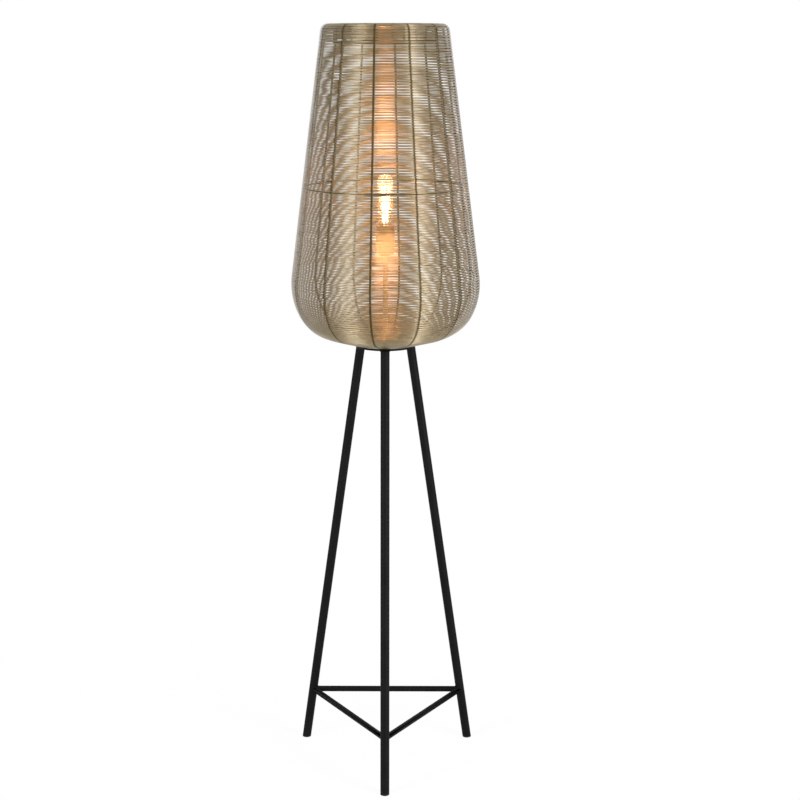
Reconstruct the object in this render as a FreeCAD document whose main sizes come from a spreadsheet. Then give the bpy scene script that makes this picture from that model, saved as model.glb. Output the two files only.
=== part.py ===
"""Wire cage floor lamp: a black tripod that carries a wound brass wire cage with a tubular bulb.

Frame: millimetres, +Z up, origin on the floor under the lamp's axis. The front leg points to -Y.
"""

import FreeCAD, Part
import math
import os
import Sketcher
from FreeCAD import Placement, Rotation, Vector

SIZES = {
    # stand
    "leg_diameter": 18,
    "leg_wall": 1.5,
    "leg_floor_radius": 200,
    "leg_top_radius": 57.5,
    "leg_azimuth": 269.2,
    "foot_thickness": 3,
    "foot_plug_height": 14,
    "foot_plug_clearance": 0.15,
    "foot_rounding": 1,
    "stretcher_diameter": 12,
    "stretcher_wall": 1.2,
    "stretcher_height": 112,
    "weld_gap": 0.1,
    "plate_underside": 877,
    "plate_thickness": 6,
    "plate_radius": 60.5,
    "plate_rounding": 1,
    # cage
    "lamp_height": 1512,
    "rib_diameter": 4.2,
    "rib_azimuth": 261,
    "collar_radius": 100.4,
    "collar_drop": 33,
    "lip_radius": 11.4,
    "wall_taper": 7.29,
    "belly_upper_radius": 131.6,
    "belly_lower_radius": 85.4,
    "belly_middle_angle": 26.65,
    "base_slope": 15.17,
    "base_ring_radius": 59,
    "hoop_diameter": 3,
    "hoop_height": 1196,
    # winding
    "wire_diameter": 1.9,
    "wire_clearance": 0.15,
    "wire_margin": 2,
    "layer_thickness": 0.6,
    "winding_joint": 0.4,
    # crossbar in the belly
    "crossbar_width": 14,
    "crossbar_thickness": 2,
    "crossbar_rise": 16,
    # threaded tube and what sits on it
    "tube_diameter": 10,
    "tube_bore": 7.6,
    "tube_tail": 16,
    "thread_clearance": 0.05,
    "nut_flats": 17,
    "nut_height": 4,
    "washer_diameter": 24,
    "washer_thickness": 1.5,
    "bushing_flange": 13,
    "bushing_flange_height": 3,
    "bushing_depth": 8,
    "bushing_bore": 5.5,
    "bushing_clearance": 0.05,
    # lamp holder
    "holder_bottom": 1062,
    "holder_diameter": 37,
    "holder_wall": 1.2,
    "holder_cap_height": 22,
    "holder_cap_floor": 2,
    "holder_cap_rounding": 5,
    "holder_boss_diameter": 15,
    "holder_boss_height": 9,
    "holder_sleeve_height": 33,
    "holder_ring_height": 3,
    "holder_ring_rounding": 1,
    "core_clearance": 0.2,
    "core_floor": 8,
    "shell_diameter": 27.6,
    "shell_wall": 0.4,
    "shell_height": 26,
    "spring_contact_diameter": 8,
    "spring_contact_height": 5,
    # bulb
    "contact_gap": 0.2,
    "bulb_button_diameter": 9,
    "bulb_button_height": 1.5,
    "bulb_insulator_height": 3.5,
    "bulb_cap_diameter": 26,
    "bulb_cap_wall": 0.4,
    "bulb_cap_height": 22,
    "bulb_cap_taper_radius": 10,
    "bulb_cap_lip": 1.6,
    "bulb_length": 136,
    "bulb_diameter": 30.4,
    "bulb_glass_wall": 0.8,
    "bulb_neck_diameter": 24.8,
    "bulb_neck_depth": 8,
    "bulb_shoulder": 20,
    "stem_rise": 0.2,
    "stem_clearance": 0.05,
    "stem_flare_height": 1.5,
    "stem_diameter": 8,
    "stem_height": 18,
    "stem_rod_diameter": 3,
    "filament_diameter": 2,
    "filament_length": 72,
    "filament_circle_radius": 6,
    "filament_azimuth": 45,
    "filament_clearance": 0.2,
    "support_wire_diameter": 0.8,
}
LEG_NAMES = ("front", "right", "left")
STRETCHER_NAMES = ("right", "back", "left")
RIB_COUNT = 12
WINDING_COUNT = 6
FILAMENT_COUNT = 4
EDGE_TOLERANCE = 0.01

document = FreeCAD.newDocument("wire_cage_floor_lamp")
sheet = document.addObject("Spreadsheet::Sheet", "Sizes")
for row, (alias, value) in enumerate(SIZES.items(), start=1):
    sheet.set(f"A{row}", alias.replace("_", " "))
    sheet.set(f"B{row}", str(value))
    sheet.setAlias(f"B{row}", alias)
document.recompute()


class Length:
    """A length or angle together with the sheet expression that gives it."""

    def __init__(self, value, text):
        self.value = value
        self.text = text

    @staticmethod
    def of(other):
        if isinstance(other, Length):
            return other
        return Length(float(other), repr(other))

    def combined(self, sign, other, value):
        return Length(value, f"({self.text} {sign} {other.text})")

    def __add__(self, other):
        other = Length.of(other)
        return self.combined("+", other, self.value + other.value)

    def __sub__(self, other):
        other = Length.of(other)
        return self.combined("-", other, self.value - other.value)

    def __mul__(self, other):
        other = Length.of(other)
        return self.combined("*", other, self.value * other.value)

    def __truediv__(self, other):
        other = Length.of(other)
        return self.combined("/", other, self.value / other.value)

    def sine(self):
        return Length(math.sin(math.radians(self.value)), f"sin({self.text} * 1 deg)")

    def cosine(self):
        return Length(math.cos(math.radians(self.value)), f"cos({self.text} * 1 deg)")

    def tangent(self):
        return Length(math.tan(math.radians(self.value)), f"tan({self.text} * 1 deg)")


def size(alias):
    """The value of one cell, tied to its alias."""
    return Length(float(sheet.get(alias)), f"Sizes.{alias}")


def bind(item, **lengths):
    """Tie properties of an object to lengths."""
    for name, length in lengths.items():
        item.setExpression(name, Length.of(length).text)
    return item


def raise_to(item, height):
    """Tie the height of an object's placement to a length."""
    item.setExpression("Placement.Base.z", Length.of(height).text)
    return item


# ---------------------------------------------------------------- helpers


def cylinder(name, radius, height):
    return bind(document.addObject("Part::Cylinder", name), Radius=radius, Height=height)


def cut(name, base, tool):
    result = document.addObject("Part::Cut", name)
    result.Base = base
    result.Tool = tool
    return result


def common(name, base, tool):
    result = document.addObject("Part::Common", name)
    result.Base = base
    result.Tool = tool
    return result


def joined(name, shapes):
    result = document.addObject("Part::MultiFuse", name)
    result.Shapes = shapes
    return result


def group(name, items):
    """Separate solids that share one node."""
    result = document.addObject("Part::Compound", name)
    result.Links = items
    return result


def pipe(name, outer_radius, inner_radius, height):
    return cut(
        name,
        cylinder(f"{name}_outside", outer_radius, height),
        cylinder(f"{name}_inside", inner_radius, height),
    )


def torus(name, ring_radius, rod_radius, height):
    ring = document.addObject("Part::Torus", name)
    bind(ring, Radius1=ring_radius, Radius2=rod_radius)
    return raise_to(ring, height)


def slab(name, radius, low, high):
    """A horizontal layer between two heights."""
    return raise_to(cylinder(name, radius, high - low), low)


def origin_plane(body, role):
    for plane in body.Origin.OriginFeatures:
        if plane.Role == role:
            return plane
    raise ValueError(role)


def sketch_on(body, role, name):
    sketch = body.newObject("Sketcher::SketchObject", name)
    sketch.AttachmentSupport = (origin_plane(body, role), [""])
    sketch.MapMode = "FlatFace"
    return sketch


def constrain(sketch, length, kind, *places):
    """Add a constraint with a value and tie it to the sheet."""
    length = Length.of(length)
    index = sketch.addConstraint(Sketcher.Constraint(kind, *places, length.value))
    sketch.setExpression(f"Constraints[{index}]", length.text)


def place_point(sketch, geometry, end, across, up):
    """Fix one end of a sketch line or arc by its distances from the axes."""
    for kind, axis, distance in (("DistanceX", -2, across), ("DistanceY", -1, up)):
        if isinstance(distance, Length):
            constrain(sketch, distance, kind, -1, 1, geometry, end)
        else:
            sketch.addConstraint(Sketcher.Constraint("PointOnObject", geometry, end, axis))


def draw_outline(sketch, outline):
    """Draw a closed outline of corners (across, up); a third entry is the radius of the arc
    that arrives at the corner, negative where it runs clockwise."""
    corners = [(Length.of(c[0]).value, Length.of(c[1]).value) for c in outline]
    starts = []
    for index, corner in enumerate(outline):
        start = Vector(*corners[index - 1], 0)
        finish = Vector(*corners[index], 0)
        if len(corner) < 3:
            geometry = sketch.addGeometry(Part.LineSegment(start, finish), False)
            starts.append((geometry, 1, 2))
            continue
        radius = corner[2]
        middle = arc_middle(start, finish, radius.value)
        geometry = sketch.addGeometry(Part.Arc(start, middle, finish), False)
        starts.append((geometry, 1, 2) if radius.value > 0 else (geometry, 2, 1))
    for index, corner in enumerate(outline):
        geometry, _, end = starts[index]
        following, begin, _ = starts[(index + 1) % len(outline)]
        sketch.addConstraint(Sketcher.Constraint("Coincident", geometry, end, following, begin))
        place_point(sketch, geometry, end, corner[0], corner[1])
        if len(corner) == 3:
            radius = corner[2] if corner[2].value > 0 else corner[2] * -1
            constrain(sketch, radius, "Radius", geometry)


def arc_middle(start, finish, radius):
    """Middle of the arc from start to finish, counter-clockwise for a positive radius."""
    chord = finish - start
    half = chord.Length / 2
    sagitta = abs(radius) - math.sqrt(max(radius**2 - half**2, 0))
    side = Vector(chord.y, -chord.x, 0).normalize()
    if radius < 0:
        side = side * -1
    return (start + finish) * 0.5 + side * sagitta


def turned_body(label, outline, height):
    """A body of revolution about Z from an outline of (radius, height) corners."""
    body = document.addObject("PartDesign::Body", label)
    sketch = sketch_on(body, "XZ_Plane", f"{label}_section")
    draw_outline(sketch, outline)
    turned = body.newObject("PartDesign::Revolution", f"{label}_turned")
    turned.Profile = sketch
    turned.ReferenceAxis = (sketch, ["V_Axis"])
    turned.Angle = 360
    raise_to(body, height)
    return body


def edges_at(shape, radius, height):
    """Names of the round edges of one radius at one height."""
    names = []
    for index, edge in enumerate(shape.Edges, start=1):
        curve = edge.Curve
        if not isinstance(curve, Part.Circle) or abs(curve.Radius - radius) > EDGE_TOLERANCE:
            continue
        if abs(curve.Center.z - height) < EDGE_TOLERANCE:
            names.append(f"Edge{index}")
    return names


def round_edges(body, rounding, places):
    """Fillet the round edges of the body's last feature at the places (radius, height)."""
    document.recompute()
    base = body.Tip
    names = []
    for radius, height in places:
        names += edges_at(base.Shape, Length.of(radius).value, Length.of(height).value)
    fillet = body.newObject("PartDesign::Fillet", f"{body.Name}_rounded")
    fillet.Base = (base, names)
    bind(fillet, Radius=rounding)


# ---------------------------------------------------------------- stand

plate_underside = size("plate_underside")
plate_top = plate_underside + size("plate_thickness")
leg_radius = size("leg_diameter") / 2
leg_bore_radius = leg_radius - size("leg_wall")
leg_lean = size("leg_floor_radius") - size("leg_top_radius")
leg_tilt = math.degrees(math.atan2(leg_lean.value, plate_underside.value))
leg_overrun = size("leg_diameter") * 2
leg_reach = size("leg_floor_radius") + size("leg_diameter")


def leg_azimuth(index):
    return size("leg_azimuth").value + index * 360 / len(LEG_NAMES)


def leg_rod(name, radius):
    """A cylinder along a leg's axis in the XZ plane, longer than the leg at both ends."""
    rod = cylinder(name, radius, plate_underside + leg_overrun * 2 + leg_lean)
    start = Vector(size("leg_floor_radius").value, 0, 0)
    direction = Vector(-leg_lean.value, 0, plate_underside.value).normalize()
    rod.Placement = Placement(start - direction * leg_overrun.value, Rotation(Vector(0, -1, 0), leg_tilt))
    return rod


def turned_to(item, azimuth):
    """Turn a piece made in the XZ plane about the lamp's axis."""
    item.Placement = Placement(Vector(0, 0, 0), Rotation(Vector(0, 0, 1), azimuth))
    return item


def make_leg(index):
    """A leaning tube with level ends, between its foot and the plate."""
    name = f"leg_{LEG_NAMES[index]}"
    outside = leg_rod(f"{name}_outside", leg_radius)
    tube = cut(f"{name}_tube", outside, leg_rod(f"{name}_bore", leg_bore_radius))
    layer = slab(f"{name}_layer", leg_reach, size("foot_thickness"), plate_underside)
    return turned_to(common(name, tube, layer), leg_azimuth(index))


def make_foot(index):
    """A cap under the leg with a plug inside the tube."""
    name = f"foot_{LEG_NAMES[index]}"
    floor = Length.of(0.0)
    pad_top = size("foot_thickness")
    pad = common(
        f"{name}_pad",
        leg_rod(f"{name}_pad_rod", leg_radius),
        slab(f"{name}_pad_layer", leg_reach, floor, pad_top),
    )
    document.recompute()
    lowest = [
        (number, size("foot_rounding").value, size("foot_rounding").value)
        for number, edge in enumerate(pad.Shape.Edges, start=1)
        if edge.BoundBox.ZMax < pad_top.value / 2
    ]
    rounded = document.addObject("Part::Fillet", f"{name}_rounded")
    rounded.Base = pad
    rounded.Edges = lowest
    plug = common(
        f"{name}_plug",
        leg_rod(f"{name}_plug_rod", leg_bore_radius - size("foot_plug_clearance")),
        slab(f"{name}_plug_layer", leg_reach, pad_top, pad_top + size("foot_plug_height")),
    )
    return turned_to(joined(name, [rounded, plug]), leg_azimuth(index))


def make_mitre(name, side):
    """A block on one side of the upright plane through a leg, to part two stretchers."""
    width = size("leg_diameter").value
    block = bind(
        document.addObject("Part::Box", name),
        Length=leg_reach,
        Width=size("leg_diameter"),
        Height=size("stretcher_diameter") * 2,
    )
    offset = size("weld_gap").value / 2
    across = -offset if side > 0 else offset - width
    low = size("stretcher_height") - size("stretcher_diameter")
    block.Placement.Base = Vector(0, across, low.value)
    return block


def make_stretcher(index):
    """A level rod between two legs, coped to their round sides and mitred to its neighbours."""
    name = f"stretcher_{STRETCHER_NAMES[index]}"
    height = size("stretcher_height")
    axis_radius = size("leg_floor_radius") - leg_lean * height / plate_underside
    ends = []
    for leg in (index, index + 1):
        turn = Rotation(Vector(0, 0, 1), leg_azimuth(leg))
        ends.append(turn.multVec(Vector(axis_radius.value, 0, height.value)))
    chord = ends[1] - ends[0]
    span = axis_radius * 2 * math.sin(math.pi / len(LEG_NAMES))
    tube = pipe(
        f"{name}_tube",
        size("stretcher_diameter") / 2,
        size("stretcher_diameter") / 2 - size("stretcher_wall"),
        span,
    )
    tube.Placement = Placement(ends[0], Rotation(Vector(0, 0, 1), chord))
    tools = []
    for leg, side in ((index, -1), (index + 1, 1)):
        turn = Placement(Vector(0, 0, 0), Rotation(Vector(0, 0, 1), leg_azimuth(leg)))
        rod = leg_rod(f"{name}_cope_{leg}", leg_radius + size("weld_gap"))
        mitre = make_mitre(f"{name}_mitre_{leg}", side)
        rod.Placement = turn * rod.Placement
        mitre.Placement = turn * mitre.Placement
        tools += [rod, mitre]
    return cut(name, tube, joined(f"{name}_ends", tools))


def make_top_plate():
    """The round plate that closes the tripod and carries the cage."""
    body = document.addObject("PartDesign::Body", "top_plate")
    disc = sketch_on(body, "XY_Plane", "top_plate_outline")
    hole_radius = size("tube_diameter") / 2 + size("thread_clearance")
    for radius in (size("plate_radius"), hole_radius):
        circle = disc.addGeometry(Part.Circle(Vector(0, 0, 0), Vector(0, 0, 1), radius.value), False)
        disc.addConstraint(Sketcher.Constraint("Coincident", circle, 3, -1, 1))
        constrain(disc, radius, "Radius", circle)
    pad = body.newObject("PartDesign::Pad", "top_plate_pad")
    pad.Profile = disc
    bind(pad, Length=size("plate_thickness"))
    radius = size("plate_radius")
    round_edges(body, size("plate_rounding"), [(radius, 0), (radius, size("plate_thickness"))])
    return raise_to(body, plate_underside)


# ---------------------------------------------------------------- cage outline

rib_radius = size("rib_diameter") / 2
wire_radius = size("wire_diameter") / 2
winding_offset = rib_radius + size("wire_clearance") + wire_radius
collar_bottom = size("lamp_height") - size("collar_drop")
lip_centre_radius = size("collar_radius") + size("lip_radius")
lip_centre_height = size("lamp_height") - size("lip_radius") - winding_offset - wire_radius
rib_end_radius = size("base_ring_radius") + rib_radius + size("weld_gap")
rib_end_height = plate_top + rib_radius + size("weld_gap")
wall_top_radius = lip_centre_radius + size("lip_radius") * size("wall_taper").cosine()
wall_top_height = lip_centre_height + size("lip_radius") * size("wall_taper").sine()


def polar(centre, radius, angle):
    return (centre[0] + radius * math.cos(angle), centre[1] + radius * math.sin(angle))


class CageOutline:
    """The section of the cage in the (radius, height) plane, from the collar over the lip and
    down to the plate, at a given distance outside the ribs' centreline."""

    def __init__(self, offset):
        taper = math.radians(size("wall_taper").value)
        middle = math.radians(size("belly_middle_angle").value)
        slope = math.radians(size("base_slope").value)
        base_normal = math.pi / 2 - slope
        lip = size("lip_radius").value
        upper = size("belly_upper_radius").value
        lower = size("belly_lower_radius").value
        belly_width = upper * (math.cos(middle) - math.cos(taper))
        belly_width += lower * (math.cos(base_normal) - math.cos(middle))
        belly_depth = upper * (math.sin(taper) + math.sin(middle))
        belly_depth += lower * (math.sin(base_normal) - math.sin(middle))
        wall_drop = wall_top_height.value - rib_end_height.value - belly_depth
        spread = wall_top_radius.value + belly_width - rib_end_radius.value + wall_drop * math.tan(taper)
        base_length = spread / (math.cos(slope) + math.sin(slope) * math.tan(taper))
        self.belly_start = rib_end_height.value + belly_depth + base_length * math.sin(slope)
        wall_length = (wall_top_height.value - self.belly_start) / math.cos(taper)
        lip_centre = (lip_centre_radius.value, lip_centre_height.value)
        wall_top = polar(lip_centre, lip, taper)
        wall_end = polar(wall_top, wall_length, taper - math.pi / 2)
        upper_centre = polar(wall_end, -upper, taper)
        lower_centre = polar(upper_centre, upper - lower, -middle)
        base_start = polar(lower_centre, lower + offset, -base_normal)
        base_end = polar(base_start, base_length, slope + math.pi)
        collar_radius = size("collar_radius").value - offset
        self.segments = [
            ("line", (collar_radius, collar_bottom.value), (collar_radius, lip_centre[1])),
            ("arc", lip_centre, lip + offset, math.pi, taper),
            ("line", polar(lip_centre, lip + offset, taper), polar(upper_centre, upper + offset, taper)),
            ("arc", upper_centre, upper + offset, taper, -middle),
            ("arc", lower_centre, lower + offset, -middle, -base_normal),
            ("line", base_start, base_end),
        ]
        self.lengths = [self.segment_length(segment) for segment in self.segments]
        self.length = sum(self.lengths)

    @staticmethod
    def segment_length(segment):
        if segment[0] == "line":
            return math.dist(segment[1], segment[2])
        return segment[2] * abs(segment[3] - segment[4])

    def point(self, number, share):
        """Radius and height at a share of one segment's length."""
        segment = self.segments[number]
        if segment[0] == "line":
            (r0, z0), (r1, z1) = segment[1:]
            return (r0 + (r1 - r0) * share, z0 + (z1 - z0) * share)
        return polar(segment[1], segment[2], segment[3] + (segment[4] - segment[3]) * share)

    def base_radius_at(self, height):
        """Radius where the base line crosses a height."""
        (r0, z0), (r1, z1) = self.segments[-1][1:]
        return r0 + (r1 - r0) * (height - z0) / (z1 - z0)


# ---------------------------------------------------------------- cage frame


def draw_rib_path(sketch):
    """The rib's centreline, every arc tangent to its neighbours."""
    outline = CageOutline(0)
    ends = []
    for segment in outline.segments:
        if segment[0] == "line":
            start, finish = (Vector(*corner, 0) for corner in segment[1:])
            ends.append((sketch.addGeometry(Part.LineSegment(start, finish), False), 1, 2))
            continue
        _, centre, radius, first, last = segment
        circle = Part.Circle(Vector(*centre, 0), Vector(0, 0, 1), radius)
        ends.append((sketch.addGeometry(Part.ArcOfCircle(circle, last, first), False), 2, 1))
    for (geometry, _, end), (following, begin, _) in zip(ends, ends[1:]):
        sketch.addConstraint(Sketcher.Constraint("Tangent", geometry, end, following, begin))
    collar, lip, _, upper, lower, base = (entry[0] for entry in ends)
    sketch.addConstraint(Sketcher.Constraint("Vertical", collar))
    place_point(sketch, collar, 1, size("collar_radius"), collar_bottom)
    constrain(sketch, size("lip_radius"), "Radius", lip)
    constrain(sketch, lip_centre_height, "DistanceY", -1, 1, lip, 3)
    constrain(sketch, wall_top_height, "DistanceY", -1, 1, lip, 1)
    constrain(sketch, size("belly_upper_radius"), "Radius", upper)
    middle_drop = size("belly_upper_radius") * size("belly_middle_angle").sine()
    constrain(sketch, middle_drop, "DistanceY", upper, 1, upper, 3)
    constrain(sketch, size("belly_lower_radius"), "Radius", lower)
    base_drop = size("belly_lower_radius") * size("base_slope").cosine()
    constrain(sketch, base_drop, "DistanceY", lower, 1, lower, 3)
    place_point(sketch, base, 2, rib_end_radius, rib_end_height)


def make_rib(index):
    """One bent rod from the collar ring to the base ring."""
    name = f"cage_rib_{index + 1:02d}"
    body = document.addObject("PartDesign::Body", name)
    path = sketch_on(body, "XZ_Plane", f"{name}_path")
    draw_rib_path(path)
    section = sketch_on(body, "XY_Plane", f"{name}_section")
    section.setExpression("AttachmentOffset.Base.z", collar_bottom.text)
    centre = Vector(size("collar_radius").value, 0, 0)
    circle = section.addGeometry(Part.Circle(centre, Vector(0, 0, 1), rib_radius.value), False)
    section.addConstraint(Sketcher.Constraint("PointOnObject", circle, 3, -1))
    constrain(section, size("collar_radius"), "DistanceX", -1, 1, circle, 3)
    constrain(section, rib_radius, "Radius", circle)
    rod = body.newObject("PartDesign::AdditivePipe", f"{name}_rod")
    rod.Profile = section
    rod.Spine = (path, [])
    azimuth = size("rib_azimuth").value + index * 360 / RIB_COUNT
    return turned_to(body, azimuth)


def make_hoop():
    """The round hoop inside the ribs, halfway up the wall."""
    hoop_radius = size("hoop_diameter") / 2
    drop = wall_top_height - size("hoop_height")
    rib_axis = wall_top_radius + drop * size("wall_taper").tangent()
    inset = (rib_radius + hoop_radius + size("weld_gap")) / size("wall_taper").cosine()
    return torus("cage_mid_hoop", rib_axis - inset, hoop_radius, size("hoop_height"))


def make_crossbar():
    """The strip across the belly that the tube's nuts hold down; its ends bear on the winding."""
    thickness = size("crossbar_thickness")
    width = size("crossbar_width")
    low = plate_top + size("crossbar_rise")
    reach = CageOutline(rib_radius.value).base_radius_at(low.value)
    half_length = math.sqrt(reach**2 - (width.value / 2) ** 2)
    strip = bind(document.addObject("Part::Box", "crossbar_strip"), Width=width, Height=thickness)
    strip.Length = half_length * 2
    strip.Placement.Base = Vector(-half_length, -width.value / 2, 0)
    hole = cylinder("crossbar_hole", size("tube_diameter") / 2 + size("thread_clearance"), thickness)
    return raise_to(cut("crossbar", strip, hole), low)


# ---------------------------------------------------------------- winding


class WindingLayer:
    """The layer of wire round the ribs, divided into the curved panels between them."""

    def __init__(self):
        half = size("layer_thickness").value / 2
        self.middle = CageOutline(winding_offset.value)
        self.outer = CageOutline(winding_offset.value + half)
        self.inner = CageOutline(winding_offset.value - half)

    def place(self, distance):
        """Segment number and share of its length at a distance along the layer's middle."""
        for number, length in enumerate(self.middle.lengths):
            if distance <= length:
                return number, distance / length
            distance -= length
        return number, 1.0

    def stretch(self, side, first, last):
        """Edges of one side of the layer between two places."""
        edges = []
        for number in range(first[0], last[0] + 1):
            start = first[1] if number == first[0] else 0.0
            finish = last[1] if number == last[0] else 1.0
            points = [side.point(number, share) for share in (start, (start + finish) / 2, finish)]
            corners = [Vector(radius, 0, height) for radius, height in points]
            if side.segments[number][0] == "line":
                edges.append(Part.LineSegment(corners[0], corners[2]).toShape())
            else:
                edges.append(Part.Arc(*corners).toShape())
        return edges

    def panels(self, first_distance, last_distance):
        """The closed solids of revolution between two distances, one between each two ribs."""
        first, last = self.place(first_distance), self.place(last_distance)
        edges = self.stretch(self.outer, first, last) + self.stretch(self.inner, first, last)
        for place in (first, last):
            ends = [Vector(radius, 0, height) for radius, height in (
                self.outer.point(*place),
                self.inner.point(*place),
            )]
            edges.append(Part.LineSegment(*ends).toShape())
        section = Part.Face(Part.Wire(Part.sortEdges(edges)[0]))
        joint = math.degrees(size("winding_joint").value / size("collar_radius").value)
        pitch = 360 / RIB_COUNT
        solids = []
        for number in range(RIB_COUNT):
            start = size("rib_azimuth").value + pitch * number + joint / 2
            solid = section.revolve(Vector(0, 0, 0), Vector(0, 0, 1), pitch - joint)
            solid.Placement = Placement(Vector(0, 0, 0), Rotation(Vector(0, 0, 1), start))
            solids.append(solid)
        return solids


def make_winding(index, layer):
    """One of the equal lengths of the winding."""
    margin = size("wire_margin").value
    share = (layer.middle.length - 2 * margin) / WINDING_COUNT
    joint = size("winding_joint").value
    start = margin + share * index
    item = document.addObject("Part::Feature", f"wire_winding_{index + 1}")
    item.Shape = Part.makeCompound(layer.panels(start + joint / 2, start + share - joint / 2))
    return item


# ---------------------------------------------------------------- threaded tube

tube_radius = size("tube_diameter") / 2
thread_hole_radius = tube_radius + size("thread_clearance")
crossbar_bottom = plate_top + size("crossbar_rise")
crossbar_top = crossbar_bottom + size("crossbar_thickness")
holder_bottom = size("holder_bottom")
tube_bottom = plate_underside - size("tube_tail")
tube_top = holder_bottom + size("holder_boss_height")


def make_tube():
    """The hollow threaded tube from under the plate into the lamp holder."""
    tube = pipe("threaded_tube", tube_radius, size("tube_bore") / 2, tube_top - tube_bottom)
    return raise_to(tube, tube_bottom)


def make_nut(name, bottom):
    height = size("nut_height")
    prism = document.addObject("Part::Prism", f"{name}_hexagon")
    prism.Polygon = 6
    bind(prism, Circumradius=size("nut_flats") / math.sqrt(3), Height=height)
    return raise_to(cut(name, prism, cylinder(f"{name}_hole", thread_hole_radius, height)), bottom)


def make_washer(name, bottom):
    radius = size("washer_diameter") / 2
    return raise_to(pipe(name, radius, thread_hole_radius, size("washer_thickness")), bottom)


def make_plate_washers():
    thickness = size("washer_thickness")
    lower = make_washer("plate_washer_lower", plate_underside - thickness)
    return group("plate_washers", [lower, make_washer("plate_washer_upper", plate_top)])


def make_plate_nuts():
    stack = size("washer_thickness")
    lower = make_nut("plate_nut_lower", plate_underside - stack - size("nut_height"))
    return group("plate_nuts", [lower, make_nut("plate_nut_upper", plate_top + stack)])


def make_crossbar_nuts():
    lower = make_nut("crossbar_nut_lower", crossbar_bottom - size("nut_height"))
    return group("crossbar_nuts", [lower, make_nut("crossbar_nut_upper", crossbar_top)])


def make_cord_bushing():
    """The plastic inlet that lines the tube's lower end."""
    bore = size("bushing_bore") / 2
    neck = size("tube_bore") / 2 - size("bushing_clearance")
    flange = size("bushing_flange_height")
    top = flange + size("bushing_depth")
    rim = size("bushing_flange") / 2
    outline = [(bore, 0), (rim, 0), (rim, flange), (neck, flange), (neck, top), (bore, top)]
    return turned_body("cord_bushing", outline, tube_bottom - flange)


# ---------------------------------------------------------------- lamp holder

holder_radius = size("holder_diameter") / 2
holder_bore_radius = holder_radius - size("holder_wall")
sleeve_bottom = holder_bottom + size("holder_cap_height")
sleeve_top = sleeve_bottom + size("holder_sleeve_height")
core_bottom = holder_bottom + size("holder_cap_floor") + size("holder_boss_height")
shell_radius = size("shell_diameter") / 2
shell_bottom = core_bottom + size("core_floor")


def make_holder_cap():
    """The round cup that screws on the tube."""
    floor = size("holder_cap_floor")
    height = size("holder_cap_height")
    boss = size("holder_boss_diameter") / 2
    boss_top = floor + size("holder_boss_height")
    outline = [
        (thread_hole_radius, 0),
        (holder_radius, 0),
        (holder_radius, height),
        (holder_bore_radius, height),
        (holder_bore_radius, floor),
        (boss, floor),
        (boss, boss_top),
        (thread_hole_radius, boss_top),
    ]
    body = turned_body("holder_cap", outline, holder_bottom)
    inner_rounding = size("holder_cap_rounding") - size("holder_wall")
    round_edges(body, inner_rounding, [(holder_bore_radius, floor)])
    round_edges(body, size("holder_cap_rounding"), [(holder_radius, 0)])
    return body


def make_holder_core():
    """The insulating body that carries the screw shell and the contact."""
    radius = holder_bore_radius - size("core_clearance")
    floor = size("core_floor")
    top = sleeve_top - core_bottom
    bore = shell_radius + size("core_clearance")
    outline = [(0, 0), (radius, 0), (radius, top), (bore, top), (bore, floor), (0, floor)]
    return turned_body("holder_core", outline, core_bottom)


def make_holder_ring():
    """The ring that closes the top of the holder round the bulb's cap."""
    bore = shell_radius - size("shell_wall")
    height = size("holder_ring_height")
    outline = [(bore, 0), (holder_radius, 0), (holder_radius, height), (bore, height)]
    body = turned_body("holder_ring", outline, sleeve_top)
    round_edges(body, size("holder_ring_rounding"), [(holder_radius, height)])
    return body


def make_screw_shell():
    bore = shell_radius - size("shell_wall")
    return raise_to(pipe("holder_screw_shell", shell_radius, bore, size("shell_height")), shell_bottom)


def make_spring_contact():
    radius = size("spring_contact_diameter") / 2
    contact = cylinder("holder_contact", radius, size("spring_contact_height"))
    return raise_to(contact, shell_bottom)


# ---------------------------------------------------------------- bulb

bulb_bottom = shell_bottom + size("spring_contact_height") + size("contact_gap")
insulator_bottom = bulb_bottom + size("bulb_button_height")
bulb_cap_bottom = insulator_bottom + size("bulb_insulator_height")
bulb_cap_top = bulb_cap_bottom + size("bulb_cap_height")
bulb_top = bulb_bottom + size("bulb_length")
neck_bottom = bulb_cap_top - size("bulb_neck_depth")
neck_radius = size("bulb_neck_diameter") / 2
stem_bottom = neck_bottom + size("stem_rise")
stem_top = stem_bottom + size("stem_flare_height") + size("stem_height")
support_radius = size("support_wire_diameter") / 2
lower_supports = stem_top + support_radius
filament_bottom = lower_supports + support_radius + size("filament_clearance")
filament_top = filament_bottom + size("filament_length")
upper_supports = filament_top + support_radius + size("filament_clearance")


def make_bulb_button():
    radius = size("bulb_button_diameter") / 2
    return raise_to(cylinder("bulb_button", radius, size("bulb_button_height")), bulb_bottom)


def make_bulb_insulator():
    button = size("bulb_button_diameter") / 2
    rim = size("bulb_cap_taper_radius")
    height = size("bulb_insulator_height")
    outline = [(0, 0), (button, 0), (rim, height), (0, height)]
    return turned_body("bulb_insulator", outline, insulator_bottom)


def make_bulb_cap():
    """The screw cap: a tapered foot and a straight side, open at the top."""
    wall = size("bulb_cap_wall")
    foot = size("bulb_cap_taper_radius")
    lip = size("bulb_cap_lip")
    side = size("bulb_cap_diameter") / 2
    height = size("bulb_cap_height")
    outline = [
        (foot - lip, 0),
        (foot, 0),
        (side, side - foot),
        (side, height),
        (side - wall, height),
        (side - wall, side - foot + wall),
        (foot - wall, wall),
        (foot - lip, wall),
    ]
    return turned_body("bulb_cap", outline, bulb_cap_bottom)


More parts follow.
